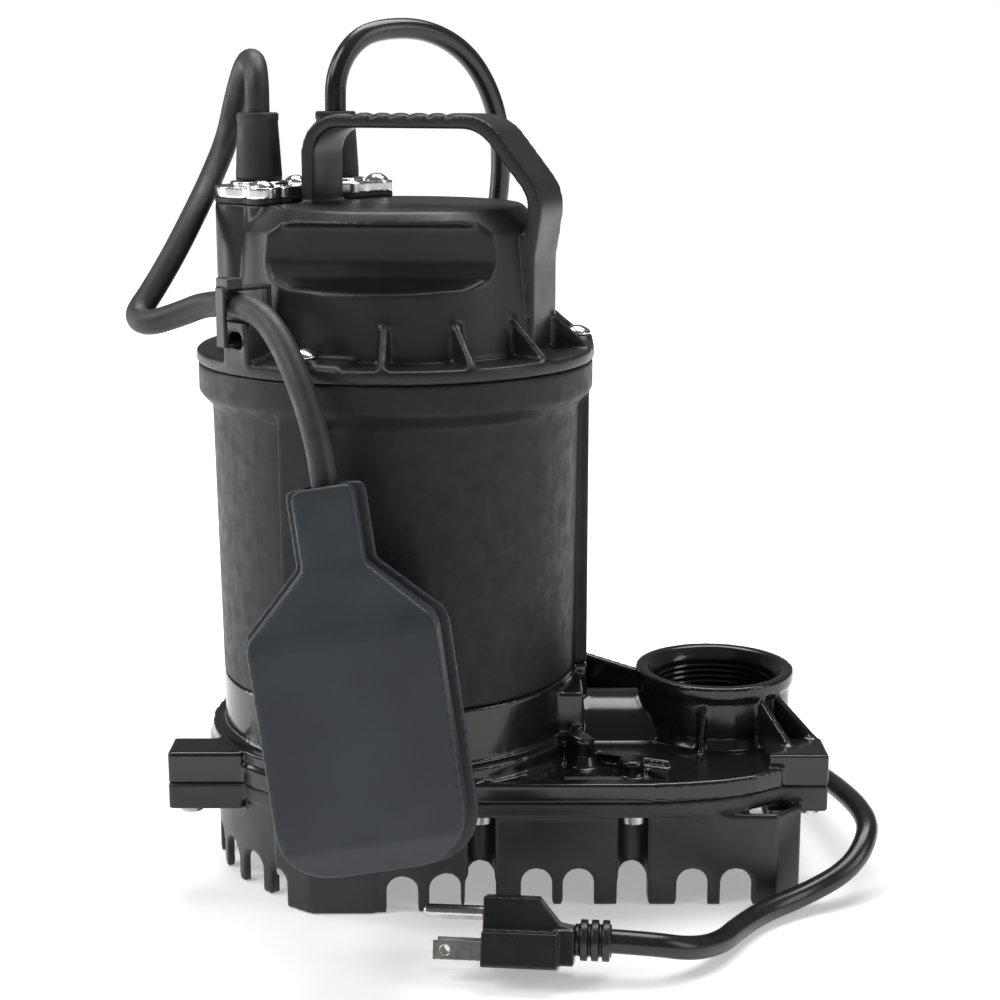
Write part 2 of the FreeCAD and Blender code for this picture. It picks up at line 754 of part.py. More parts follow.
def gland_ears():
    """Centres of the two ears of each gland plate."""
    spots = []
    for _, x, y, angle, _ in GLANDS:
        cos, sin = math.cos(math.radians(angle)), math.sin(math.radians(angle))
        for side in (1, -1):
            spots.append((x + S.gland_ear_reach * (side * cos), y + S.gland_ear_reach * (side * sin)))
    return spots


def diamond(x, y, angle, radius, low, high, ears):
    """Two-eared plate: a round middle that tapers to an ear on each side."""
    cos, sin = math.cos(math.radians(angle)), math.sin(math.radians(angle))
    corners = []
    for along, across in ((-16.5, -6.0), (0, -13.0), (16.5, -6.0), (16.5, 6.0), (0, 13.0), (-16.5, 6.0)):
        corners.append((x + along * cos - across * sin, y + along * sin + across * cos))
    length = dim(high) - low
    parts = [extruded(corners, low, high), rod((x, y, low), radius, length)]
    parts += [rod((ex, ey, low), S.gland_ear_radius, length) for ex, ey in ears]
    return fuse(parts)


def glands():
    ears = gland_ears()
    gasket_top = S.dome_top + S.gasket_thick
    plate_top = gasket_top + S.gland_plate_thick
    screws = []
    for number, (name, x, y, angle, radius) in enumerate(GLANDS):
        own_ears = ears[2 * number:2 * number + 2]
        bore = rod((x, y, S.dome_top - 1), S.boot_low_radius, 12)
        holes = [bore] + [rod((ex, ey, S.dome_top - 1), 1.9, 12) for ex, ey in own_ears]
        node(f"{name}_gland_gasket", [cut(diamond(x, y, angle, radius, S.dome_top, gasket_top, own_ears), holes)])
        plate = fuse([
            diamond(x, y, angle, radius, gasket_top, plate_top, own_ears),
            rod((x, y, plate_top), S.boot_low_radius + 2, 1.6),
        ])
        node(f"{name}_gland_plate", [cut(plate, holes)])
        boot = fuse([
            rod((x, y, S.dome_top - 14), S.boot_tail_radius, 14),
            rod((x, y, S.dome_top), S.boot_low_radius, plate_top - S.dome_top),
            cone((x, y, plate_top), S.boot_low_radius, S.boot_high_radius, S.boot_top - plate_top),
        ])
        node(f"{name}_cord_boot", [boot])
        for ex, ey in own_ears:
            shank = rod((ex, ey, S.dome_top - 9), 1.9, plate_top - S.dome_top + 9)
            head = common([ball((ex, ey, plate_top - 2.6), 5.4), rod((ex, ey, plate_top), 4.6, 4)])
            screws.append(fuse([shank, head]))
    node("gland_screws", screws)


# ---- motor internals --------------------------------------------------------------------------

def rotor():
    shaft = fuse([
        rod((0, 0, S.shaft_low), S.shaft_end_radius, S.impeller_high + 2 - S.shaft_low),
        rod((0, 0, S.impeller_high + 2), S.shaft_radius, S.sleeve_low - 4 - S.impeller_high - 2),
        rod((0, 0, S.sleeve_low - 4), S.shaft_end_radius, S.shaft_high - S.sleeve_low + 4),
    ])
    node("motor_shaft", [shaft])
    height = S.core_high - S.core_low
    node("rotor_core", [ring((0, 0, S.core_low), S.shaft_radius, S.rotor_radius, height)])
    vanes = []
    for step in range(6):
        vane = box((14, -1.4, S.impeller_low), (S.impeller_radius - 0.6, 1.4, S.impeller_high - 3), 60 * step)
        vanes.append(vane)
    disc = rod((0, 0, S.impeller_high - 4), S.impeller_radius, 4)
    hub = rod((0, 0, S.impeller_low + 4), S.impeller_hub, S.impeller_high + 2 - S.impeller_low - 4)
    bore = rod((0, 0, 0), S.shaft_end_radius, 90)
    node("impeller", [cut(fuse([disc, hub] + vanes), [bore])])
    nut = cut(
        extruded([(9.2 * math.cos(math.radians(60 * i)), 9.2 * math.sin(math.radians(60 * i)))
                  for i in range(6)], S.impeller_low - 2, S.impeller_low + 4),
        [rod((0, 0, 0), S.shaft_end_radius, 90)],
    )
    node("impeller_nut", [nut])
    seal_low = S.impeller_high + 2
    node("seal_spring", [ring((0, 0, seal_low), 10.0, 12.0, 6)])
    head = fuse([
        ring((0, 0, seal_low + 6), S.shaft_radius, 13, S.collar_top - 3 - seal_low - 6),
        ring((0, 0, S.collar_top - 3), 9, 12, 2.95),
    ])
    node("seal_head", [head])
    node("seal_seat", [ring((0, 0, S.collar_top), 8.2, 14, 3.4)])
    node("bearing_inner_race", [ring((0, 0, S.bearing_low), S.shaft_radius, 10.2, S.bearing_width)])
    node("bearing_outer_race", [ring((0, 0, S.bearing_low), 14.9, S.bearing_outer, S.bearing_width)])
    middle = S.bearing_low + S.bearing_width / 2
    cage = ring((0, 0, middle - 0.8), 11.4, 13.6, 1.6)
    balls = [ball((S.ball_pitch, 0, middle), S.ball_radius - 0.75, 45 * step) for step in range(8)]
    node("bearing_cage", [fuse([cage] + balls)])
    bush = ring((0, 0, S.sleeve_low), S.shaft_end_radius + S.running_clearance, S.sleeve_outer,
                S.sleeve_high - S.sleeve_low)
    node("upper_sleeve_bearing", [bush])


def stator():
    slots = []
    bars = []
    for step in range(12):
        turn = 30 * step
        slots.append(box((32, -3, S.core_low - 1), (48, 3, S.core_high + 1), turn))
        bars.append(box((32.5, -2.6, S.core_low - 1), (47.5, 2.6, S.core_high + 1), turn))
    height = S.core_high - S.core_low
    core = cut(ring((0, 0, S.core_low), S.stator_bore, S.can_bore, height), slots)
    node("stator_core", [core])
    low_coil = ring((0, 0, S.core_low - 11), 31, 52, 10.5)
    high_coil = ring((0, 0, S.core_high + 0.5), 31, 52, 10)
    node("stator_windings", [fuse([low_coil, high_coil] + bars)])
    node("thermal_protector", [box((-10, 36, S.core_high + 10.5), (10, 45, S.core_high + 16.5))])


def end_bell():
    top = S.bell_low + S.bell_thick
    plate = rod((0, 0, S.bell_low), S.can_bore, S.bell_thick)
    boss = rod((0, 0, S.sleeve_low - 1), S.sleeve_outer + 2.5, S.sleeve_high - S.sleeve_low + 1)
    holes = [rod((0, 0, S.sleeve_low), S.sleeve_outer, 30), rod((0, 0, 150), S.shaft_end_radius + 2, 40)]
    holes += [rod((-30, 24, S.bell_low - 1), 9, 8), rod((-30, -24, S.bell_low - 1), 9, 8)]
    node("upper_end_bell", [cut(fuse([plate, boss]), holes)])
    at = (S.capacitor_x, S.capacitor_y, top)
    node("run_capacitor", [rod(at, S.capacitor_radius, S.capacitor_height)])
    band = ring((S.capacitor_x, S.capacitor_y, top + 18), S.capacitor_radius, S.capacitor_radius + 1.2, 10)
    node("capacitor_clamp", [band])


def leads():
    """Insulated wires under each cord's boot, each with its crimp connector."""
    wires = []
    crimps = []
    for x, y, gap in ((-23.9, 36.5, 4.0), (-23.9, 36.5, 0.0), (-23.9, 36.5, -4.0), (-45, 10, 1.8), (-45, 10, -1.8)):
        start = x + gap
        route = [(start, y, 230), (start, y, 222), (start + 3, y - 4, 213), (start + 3, y - 4, 204)]
        wires.append(tube("lead wire", route, S.lead_radius))
        crimps.append(cone((start + 3, y - 4, 194), 1.9, 1.5, 10))
    node("lead_wires", wires)
    node("wire_connectors", crimps)


# ---- float switch -----------------------------------------------------------------------------

FLOAT_TOP = (-19.0, -90.0, 159.0)
FLOAT_UP = FreeCAD.Vector(-19.0, 20.0, 125.0).normalize()
FLOAT_FACE = (FreeCAD.Vector(0, -1, 0) + FLOAT_UP * FLOAT_UP.y).normalize()
FLOAT_RIGHT = FLOAT_UP.cross(FLOAT_FACE)


def float_pose(parts):
    """The float is drawn in XY with its neck's top at the origin; its front face looks along +Z."""
    rotation = FreeCAD.Rotation(FLOAT_RIGHT, FLOAT_UP, FLOAT_FACE, "ZXY")
    return posed(parts, FLOAT_TOP, rotation)


def float_outline(inset):
    """Neck, sloping shoulders and a body with round bottom corners, drawn down from the neck's top."""
    half, neck, length = S.float_half - inset, S.neck_half - inset, S.float_length - inset
    right = [(neck - 2.5, 0), (neck - 0.7, -0.8), (neck, -2.8), (neck, -25.5)]
    right += [(half - 4.5, -41.5), (half - 1.3, -44.5), (half, -48.5)]
    for step in range(6):
        turn = math.radians(18 * step)
        right.append((half - 17 * (1 - math.cos(turn)), -1 * (length - 17 * (1 - math.sin(turn)))))
    left = [(-1 * x, y) for x, y in reversed(right)]
    return right + left


def float_solid(inset, wall):
    """One half of the float: its outline, thinner at the neck, with the hollow inside it."""
    depth = S.float_thick / 2 - wall
    neck_depth = S.neck_depth - wall
    profile = [
        (3, -1),
        (3, neck_depth),
        (-25.5, neck_depth + 0.8),
        (-44.5, depth - 0.5),
        (-50, depth),
        (-1 * (S.float_length - 12), depth),
        (-1 * (S.float_length - inset), depth - 4),
        (-1 * (S.float_length + 3), -1),
    ]
    slab = posed([extruded(profile, -60, 60)], (0, 0, 0), FreeCAD.Rotation(Y_AXIS, Z_AXIS, X_AXIS, "ZXY"))
    return common([extruded(float_outline(dim(inset)), -0.5, S.float_thick), slab])


def float_half():
    outer = float_solid(S.seam_inset, dim(0))
    return cut(outer, [float_solid(S.seam_inset + S.float_wall, S.float_wall)])


def float_switch():
    half_turn = FreeCAD.Rotation(Y_AXIS, 180)
    above = box((-60, -150, S.seam_half), (60, 10, 60))
    seam = cut(
        extruded(float_outline(dim(0)), -1 * S.seam_half, S.seam_half),
        [extruded(float_outline(S.seam_inset + S.float_wall), -5, 5)],
    )
    front = common([float_half(), above])
    rear_above = box((-60, -150, S.seam_half), (60, 10, 60))
    rear = posed([common([float_half(), rear_above])], (0, 0, 0), half_turn)
    node("float_shell_front", [float_pose([front])])
    node("float_shell_rear", [float_pose([fuse([rear, seam])])])
    tube_body = ring((0, -106, 0), 8.4, 10.4, 52, along="Y")
    end_stop = rod((0, -108, 0), 10.4, 2, along="Y")
    node("switch_ball_tube", [float_pose([fuse([tube_body, end_stop])])])
    node("switch_ball", [float_pose([ball((0, -97.6, 0), 8.0)])])
    micro = box((-10, -46, -5), (10, -34, 5))
    node("microswitch", [float_pose([micro])])
    lever = box((-9, -52.6, -2), (9, -51.4, 2))
    node("microswitch_lever", [float_pose([lever])])


# ---- cords and plug ---------------------------------------------------------------------------

# Routes are in the pump's own frame: the power cord from its boot's top, over an arch and down
# behind the pump to the coil's upper outer turn.
POWER_DROP = [
    (-59.4, 66.0, 276.0),
    (-59.2, 66.2, 288.8),
    (-54.0, 70.2, 300.0),
    (-45.0, 77.2, 306.3),
    (-25.5, 92.0, 307.0),
    (-9.0, 104.8, 297.0),
    (1.0, 113.5, 277.5),
    (3.5, 118.5, 254.0),
    (0.0, 121.5, 226.0),
    (-8.0, 124.0, 184.0),
    (-17.0, 126.0, 138.0),
    (-26.0, 128.5, 98.0),
    (-33.0, 131.0, 66.0),
    (-34.5, 134.5, 45.0),
    (-24.5, 137.5, 31.5),
    (-8.0, 138.5, 28.0),
]
# From the coil's lowest outer turn, round the outlet's end to the plug in front.
POWER_TAIL = [
    (-16.0, 139.2, 4.0),
    (22.0, 132.4, 4.2),
    (60.0, 123.0, 5.2),
    (101.0, 107.0, 8.5),
    (125.0, 76.5, 14.5),
    (132.5, 35.0, 20.0),
    (137.5, 3.0, 22.0),
    (137.0, -15.0, 20.0),
    (128.0, -28.0, 11.5),
    (110.0, -37.0, 5.5),
    (94.0, -48.0, 4.2),
    (84.0, -61.0, 4.2),
    (76.5, -74.5, 5.0),
    (65.5, -86.5, 8.5),
    (52.0, -91.2, 12.6),
    (39.0, -90.0, 13.0),
]
# The float's cord from its boot to the tie, and from the tie to the float's neck.
FLOAT_CORD = [
    (-85.5, 39.5, 276.0),
    (-85.5, 40.0, 287.5),
    (-87.5, 49.0, 295.0),
    (-92.0, 61.0, 293.5),
    (-97.0, 68.5, 281.0),
    (-100.5, 68.5, 266.0),
    (-105.0, 54.5, 252.0),
    (-109.0, 36.5, 240.0),
    (-115.0, 23.0, 226.0),
    (-122.0, 13.0, 213.0),
    (-126.5, 5.5, 206.0),
    (-121.0, -1.5, 204.0),
    (-110.0, -4.5, 207.5),
    (-97.12, -10.75, 213.0),
    (-87.64, -20.36, 213.0),
]
FLOAT_TETHER = [
    (-87.36, -20.64, 213.0),
    (-79.64, -28.47, 213.0),
    (-70.2, -39.5, 204.5),
    (-61.5, -51.5, 187.5),
    (-56.52, -58.37, 172.28),
    (-54.5, -60.5, 159.0),
]
COIL_CENTRE = (-8.0, 184.5)
PLUG_REAR = (39.0, -90.0, 13.0)
PLUG_DIRECTION = FreeCAD.Vector(-0.995, 0.095, 0.0).normalize()
PLUG_ROLL = 20.0


def cords():
    drop = tube("power_cord", POWER_DROP, S.power_cord_radius)
    node("power_cord", [drop], about_motor=False)
    coil = ring((*COIL_CENTRE, 0), S.coil_inner, S.coil_outer, S.coil_height)
    node("power_cord_coil", [coil], about_motor=False)
    tail = tube("power_cord_tail", POWER_TAIL, S.power_cord_radius)
    node("power_cord_tail", [tail], about_motor=False)
    root = tube("float_cord", FLOAT_CORD, S.float_cord_radius)
    node("float_cord", [root], about_motor=False)
    tether = tube("float_tether", FLOAT_TETHER, S.float_cord_radius)
    node("float_tether", [tether], about_motor=False)


def plug_pose(parts):
    """The plug is drawn along +X from its rear end, with its earth pin towards +Z."""
    up = FreeCAD.Rotation(PLUG_DIRECTION, PLUG_ROLL).multVec(Z_AXIS)
    rotation = FreeCAD.Rotation(PLUG_DIRECTION, FreeCAD.Vector(), up, "XZY")
    return posed(parts, PLUG_REAR, rotation)


def plug():
    rear, front = S.relief_length, S.relief_length + S.plug_length
    relief = [rod((0, 0, 0), 5.2, rear, along="X")]
    relief += [ring((0.6 + 3.6 * step, 0, 0), 5.2, 6.7, 2.4, along="X") for step in range(3)]
    node("plug_strain_relief", [plug_pose([fuse(relief)])], about_motor=False)
    lobe_points = [(rear, -2), (rear, 4.2), (rear + 5, 5), (rear + 12, S.lobe_top), (front, S.lobe_top), (front, -2)]
    body = fuse([
        box((rear + 5, -S.plug_half, -S.plug_drop), (front, S.plug_half, 2.4)),
        box((rear, -7.5, 1 - S.plug_drop), (rear + 6, 7.5, 3.4)),
        upright(lobe_points, 13),
    ])
    node("plug_body", [plug_pose([body])], about_motor=False)
    half = S.blade_spacing / 2
    blades = [
        box((front, side * half - 0.75, -7.6), (front + 16, side * half + 0.75, -1.3)) for side in (-1, 1)
    ]
    blades = [cut(blade, [rod((front + 12, -20, -4.45), 1.6, 40, along="Y")]) for blade in blades]
    node("plug_blades", [plug_pose(blades)], about_motor=False)
    pin_height = S.pin_offset - 4.45
    pin = fuse([
        rod((front, 0, pin_height), 2.37, 18, along="X"),
        ball((front + 18, 0, pin_height), 2.37),
    ])
    node("plug_ground_pin", [plug_pose([pin])], about_motor=False)


def check_and_export():
    doc.recompute()
    for item in doc.Objects:
        for problem in ("Invalid", "Error"):
            if problem in item.State:
                raise RuntimeError(f"{item.Name} ({item.Label}) is {problem}")
    for part in nodes:
        if part.Shape.isNull() or not part.Shape.isValid():
            raise RuntimeError(f"{part.Label} has no valid shape")
    os.makedirs("parts", exist_ok=True)
    for part in nodes:
        part.Shape.exportStep(f"parts/{part.Label}.step")
    print(f"{len(nodes)} sub-parts written")


strainer_base()
volute()
base_fasteners()
motor_housing()
motor_cap()
cap_fasteners()
cable_tie()
glands()
rotor()
stator()
end_bell()
leads()
float_switch()
cords()
plug()
check_and_export()
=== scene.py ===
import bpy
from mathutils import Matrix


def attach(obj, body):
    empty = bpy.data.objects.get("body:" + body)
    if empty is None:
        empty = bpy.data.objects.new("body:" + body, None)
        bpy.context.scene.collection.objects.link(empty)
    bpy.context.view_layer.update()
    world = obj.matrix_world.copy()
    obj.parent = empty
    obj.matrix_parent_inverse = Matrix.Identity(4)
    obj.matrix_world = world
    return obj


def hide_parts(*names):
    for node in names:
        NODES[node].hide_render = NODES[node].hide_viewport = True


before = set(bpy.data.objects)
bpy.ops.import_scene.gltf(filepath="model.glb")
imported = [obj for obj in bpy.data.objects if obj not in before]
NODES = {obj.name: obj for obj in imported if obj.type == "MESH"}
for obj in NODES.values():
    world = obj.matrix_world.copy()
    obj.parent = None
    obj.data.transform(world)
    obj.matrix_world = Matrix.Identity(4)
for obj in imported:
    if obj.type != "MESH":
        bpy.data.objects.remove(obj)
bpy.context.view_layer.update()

import math

import bmesh
import bpy
from mathutils import Matrix, Vector

MM = 0.001
MOTOR = Vector((-0.0355, 0.0295, 0.0))
OUTLET = MOTOR + Vector((0.1195, 0, 0))


# ---- camera, floor and light ------------------------------------------------------------------

def add_camera():
    data = bpy.data.cameras.new("camera")
    data.lens = 69.48
    data.sensor_width = 36.0
    data.clip_start = 0.01
    camera = bpy.data.objects.new("camera", data)
    camera.location = (0.0025, -0.6745, 0.289)
    camera.rotation_euler = (math.radians(77.6), 0, 0)
    bpy.context.collection.objects.link(camera)
    bpy.context.scene.camera = camera


def add_light(name, place, target, size, power):
    data = bpy.data.lights.new(name, "AREA")
    data.shape = "RECTANGLE"
    data.size, data.size_y = size
    data.energy = power
    light = bpy.data.objects.new(name, data)
    light.location = place
    aim = Vector(target) - Vector(place)
    light.rotation_euler = aim.to_track_quat("-Z", "Y").to_euler()
    bpy.context.collection.objects.link(light)


def add_floor():
    mesh = bpy.data.meshes.new("floor")
    half = 6.0
    mesh.from_pydata([(-half, -half, 0), (half, -half, 0), (half, half, 0), (-half, half, 0)], [], [(0, 1, 2, 3)])
    floor = bpy.data.objects.new("floor", mesh)
    bpy.context.collection.objects.link(floor)
    floor.location.z = -0.0004
    material = bpy.data.materials.new("floor_paper")
    material.use_nodes = True
    nodes, links = material.node_tree.nodes, material.node_tree.links
    shader = nodes["Principled BSDF"]
    shader.inputs["Roughness"].default_value = 0.75
    noise = nodes.new("ShaderNodeTexNoise")
    noise.inputs["Scale"].default_value = 3.0
    ramp = nodes.new("ShaderNodeValToRGB")
    ramp.color_ramp.elements[0].color = (0.90, 0.90, 0.90, 1)
    ramp.color_ramp.elements[1].color = (0.94, 0.94, 0.94, 1)
    links.new(noise.outputs["Fac"], ramp.inputs["Fac"])
    links.new(ramp.outputs["Color"], shader.inputs["Base Color"])
    shader.inputs["Emission Color"].default_value = (1, 1, 1, 1)
    place, away, glow = (nodes.new(f"ShaderNode{kind}") for kind in ("TexCoord", "VectorMath", "MapRange"))
    away.operation = "LENGTH"
    links.new(place.outputs["Object"], away.inputs[0])
    for socket, value in (("From Min", 0.2), ("From Max", 1.6), ("To Min", 0.36), ("To Max", 1.0)):
        glow.inputs[socket].default_value = value
    links.new(away.outputs["Value"], glow.inputs["Value"])
    links.new(glow.outputs["Result"], shader.inputs["Emission Strength"])
    mesh.materials.append(material)


def add_world():
    world = bpy.data.worlds.new("studio")
    world.use_nodes = True
    nodes, links = world.node_tree.nodes, world.node_tree.links
    seen, lit = nodes["Background"], nodes.new("ShaderNodeBackground")
    seen.inputs["Color"].default_value = (1, 1, 1, 1)
    lit.inputs["Color"].default_value = (0.96, 0.98, 1.0, 1)
    lit.inputs["Strength"].default_value = 0.16
    path, mixed = nodes.new("ShaderNodeLightPath"), nodes.new("ShaderNodeMixShader")
    links.new(path.outputs["Is Camera Ray"], mixed.inputs[0])
    links.new(lit.outputs[0], mixed.inputs[1])
    links.new(seen.outputs[0], mixed.inputs[2])
    links.new(mixed.outputs[0], nodes["World Output"].inputs["Surface"])
    bpy.context.scene.world = world
    bpy.context.scene.view_settings.view_transform = "Standard"


add_camera()
add_floor()
add_world()
add_light("key", (-1.1, -0.5, 1.3), (-0.02, 0, 0.15), (0.7, 0.9), 13)
add_light("fill", (1.4, -0.5, 0.8), (0.03, 0, 0.1), (0.5, 1.0), 5)
add_light("top", (0.1, 0.5, 1.5), (0, 0, 0.1), (1.3, 0.8), 22)
add_light("strip_left", (-1.2, 0.3, 0.45), (-0.05, 0, 0.15), (0.25, 1.1), 6)


# ---- materials --------------------------------------------------------------------------------

def surface(name, dark, light, rough, mottle, grain, bump, metal=0.0, scuffs=0.0, specular=0.5,
            stretch=(1, 1, 1), depth=0.0002):
    """One material: drifting colour, patchy roughness, a fine grain and, where asked, pale scuffs on edges."""
    material = bpy.data.materials.new(name)
    material.use_nodes = True
    nodes, links = material.node_tree.nodes, material.node_tree.links
    shader = nodes["Principled BSDF"]
    shader.inputs["Metallic"].default_value = metal
    shader.inputs["Specular IOR Level"].default_value = specular
    place = nodes.new("ShaderNodeTexCoord")
    scale = nodes.new("ShaderNodeMapping")
    scale.inputs["Scale"].default_value = stretch
    links.new(place.outputs["Object"], scale.inputs["Vector"])

    def noise(size, detail):
        node = nodes.new("ShaderNodeTexNoise")
        node.inputs["Scale"].default_value = size
        node.inputs["Detail"].default_value = detail
        links.new(scale.outputs["Vector"], node.inputs["Vector"])
        return node.outputs["Fac"]

    def spread(source, low, high, new_low, new_high):
        node = nodes.new("ShaderNodeMapRange")
        node.inputs["From Min"].default_value = low
        node.inputs["From Max"].default_value = high
        node.inputs["To Min"].default_value = new_low
        node.inputs["To Max"].default_value = new_high
        links.new(source, node.inputs["Value"])
        return node.outputs["Result"]

    def mix(factor, first, second):
        node = nodes.new("ShaderNodeMix")
        node.data_type = "RGBA"
        links.new(factor, node.inputs["Factor"])
        for socket, value in ((node.inputs[6], first), (node.inputs[7], second)):
            if isinstance(value, tuple):
                socket.default_value = (*value, 1)
            else:
                links.new(value, socket)
        return node.outputs[2]

    colour = mix(spread(noise(mottle, 5.0), 0.35, 0.65, 0, 1), dark, light)
    if scuffs:
        edges = nodes.new("ShaderNodeNewGeometry").outputs["Pointiness"]
        worn = spread(edges, 0.515, 0.60, 0, scuffs)
        patchy = nodes.new("ShaderNodeMath")
        patchy.operation = "MULTIPLY"
        links.new(worn, patchy.inputs[0])
        links.new(spread(noise(mottle * 6, 6.0), 0.45, 0.62, 0, 1), patchy.inputs[1])
        pale = tuple(min(1.0, channel * 2.2 + 0.05) for channel in light)
        colour = mix(patchy.outputs[0], colour, pale)
    links.new(colour, shader.inputs["Base Color"])
    links.new(spread(noise(mottle * 2.7, 6.0), 0.3, 0.7, rough * 0.85, min(1.0, rough * 1.2)),
              shader.inputs["Roughness"])
    height = nodes.new("ShaderNodeBump")
    height.inputs["Strength"].default_value = bump
    height.inputs["Distance"].default_value = depth
    links.new(noise(grain, 2.0), height.inputs["Height"])
    links.new(height.outputs["Normal"], shader.inputs["Normal"])
    return material


MATERIALS = {
    "gloss_black": surface("gloss_black", (0.0075, 0.0078, 0.0085), (0.012, 0.0125, 0.0135), 0.17, 45, 900, 0.02,
                           scuffs=0.10, specular=0.55),
    "satin_black": surface("satin_black", (0.010, 0.0105, 0.011), (0.016, 0.0165, 0.0175), 0.36, 40, 1500, 0.05,
                           scuffs=0.10),
    "matte_black": surface("matte_black", (0.0092, 0.0092, 0.0095), (0.0102, 0.0102, 0.0105), 0.50, 70, 1500, 0.22,
                           scuffs=0.04, specular=0.30, depth=0.0003),
    "cap_black": surface("cap_black", (0.010, 0.0115, 0.0135), (0.0135, 0.0155, 0.018), 0.36, 35, 1400, 0.06,
                         scuffs=0.08, specular=0.38),
    "float_plastic": surface("float_plastic", (0.020, 0.024, 0.029), (0.029, 0.034, 0.040), 0.46, 28, 1500, 0.07,
                             scuffs=0.08, specular=0.45),
    "cord_jacket": surface("cord_jacket", (0.009, 0.009, 0.010), (0.018, 0.018, 0.019), 0.24, 55, 1300, 0.12),
    "cord_matte": surface("cord_matte", (0.012, 0.012, 0.013), (0.022, 0.022, 0.024), 0.50, 80, 1500, 0.2),
    "seal_rubber": surface("seal_rubber", (0.009, 0.009, 0.0095), (0.016, 0.016, 0.017), 0.55, 80, 1600, 0.15),
    "chrome": surface("chrome", (0.62, 0.62, 0.63), (0.80, 0.80, 0.81), 0.16, 120, 1800, 0.03, metal=1.0),
    "steel": surface("steel", (0.38, 0.38, 0.39), (0.55, 0.55, 0.56), 0.28, 120, 2500, 0.06, metal=1.0),
    "brass": surface("brass", (0.62, 0.42, 0.16), (0.78, 0.56, 0.24), 0.28, 120, 2500, 0.06, metal=1.0),
    "nickel": surface("nickel", (0.52, 0.50, 0.47), (0.72, 0.70, 0.66), 0.22, 160, 2600, 0.05, metal=1.0),
    "bronze": surface("bronze", (0.34, 0.19, 0.08), (0.48, 0.29, 0.13), 0.38, 150, 2600, 0.12, metal=1.0),
    "laminations": surface("laminations", (0.13, 0.13, 0.14), (0.24, 0.24, 0.25), 0.45, 60, 1800, 0.25, metal=0.8,
                           stretch=(0.1, 0.1, 1)),
    "copper_wire": surface("copper_wire", (0.40, 0.13, 0.05), (0.62, 0.25, 0.10), 0.30, 130, 900, 0.4, metal=0.9),
    "ceramic": surface("ceramic", (0.62, 0.60, 0.55), (0.74, 0.72, 0.68), 0.25, 100, 2200, 0.03),
    "carbon": surface("carbon", (0.018, 0.018, 0.019), (0.034, 0.034, 0.035), 0.42, 120, 2400, 0.1),
    "impeller_plastic": surface("impeller_plastic", (0.020, 0.020, 0.021), (0.036, 0.036, 0.038), 0.40, 60, 1500,
                                0.08, scuffs=0.2),
    "die_cast": surface("die_cast", (0.30, 0.30, 0.31), (0.42, 0.42, 0.43), 0.48, 50, 1500, 0.2, metal=0.8),
    "capacitor_case": surface("capacitor_case", (0.018, 0.020, 0.026), (0.030, 0.032, 0.040), 0.34, 60, 1700, 0.06),
    "lead_insulation": surface("lead_insulation", (0.36, 0.36, 0.35), (0.52, 0.52, 0.50), 0.42, 90, 1800, 0.08),
    "micro_case": surface("micro_case", (0.10, 0.030, 0.022), (0.16, 0.05, 0.035), 0.42, 90, 2200, 0.06),
    "label_film": surface("label_film", (0.05, 0.052, 0.055), (0.085, 0.088, 0.092), 0.38, 300, 2400, 0.05),
    "plug_plastic": surface("plug_plastic", (0.0085, 0.0085, 0.009), (0.015, 0.015, 0.016), 0.30, 60, 1600, 0.08,
                            scuffs=0.15),
}
NODE_MATERIALS = {
    "chrome": ("gland_screws", "cap_screws", "float_gland_plate", "power_gland_plate"),
    "steel": ("base_screws", "volute_bolts", "motor_shaft", "bearing_inner_race", "bearing_outer_race",
              "switch_ball", "seal_spring", "capacitor_clamp", "microswitch_lever"),
    "nickel": ("plug_blades", "plug_ground_pin"),
    "brass": ("impeller_nut",),
    "bronze": ("upper_sleeve_bearing", "bearing_cage"),
    "laminations": ("stator_core", "rotor_core"),
    "copper_wire": ("stator_windings",),
    "ceramic": ("seal_seat",),
    "carbon": ("seal_head",),
    "impeller_plastic": ("impeller",),
    "die_cast": ("upper_end_bell",),
    "capacitor_case": ("run_capacitor",),
    "lead_insulation": ("lead_wires", "wire_connectors"),
    "micro_case": ("microswitch", "thermal_protector"),
    "label_film": ("rating_label",),
    "seal_rubber": ("volute_seal_ring", "cap_seal_ring", "float_gland_gasket", "power_gland_gasket",
                    "float_cord_boot", "power_cord_boot"),
    "plug_plastic": ("plug_body", "plug_strain_relief", "switch_ball_tube"),
    "gloss_black": ("volute",),
    "satin_black": ("strainer_base",),
    "matte_black": ("motor_housing",),
    "cap_black": ("motor_cap", "cable_tie"),
    "float_plastic": ("float_shell_front", "float_shell_rear"),
    "cord_jacket": ("power_cord", "power_cord_coil", "power_cord_tail"),
    "cord_matte": ("float_cord", "float_tether"),
}


def paint(piece, key):
    piece.data.materials.clear()
    piece.data.materials.append(MATERIALS[key])


for key, names in NODE_MATERIALS.items():
    for name in names:
        slots = NODES[name].material_slots
        if slots:
            for slot in slots:
                slot.material = MATERIALS[key]
        else:
            NODES[name].data.materials.append(MATERIALS[key])


# ---- cords ------------------------------------------------------------------------------------

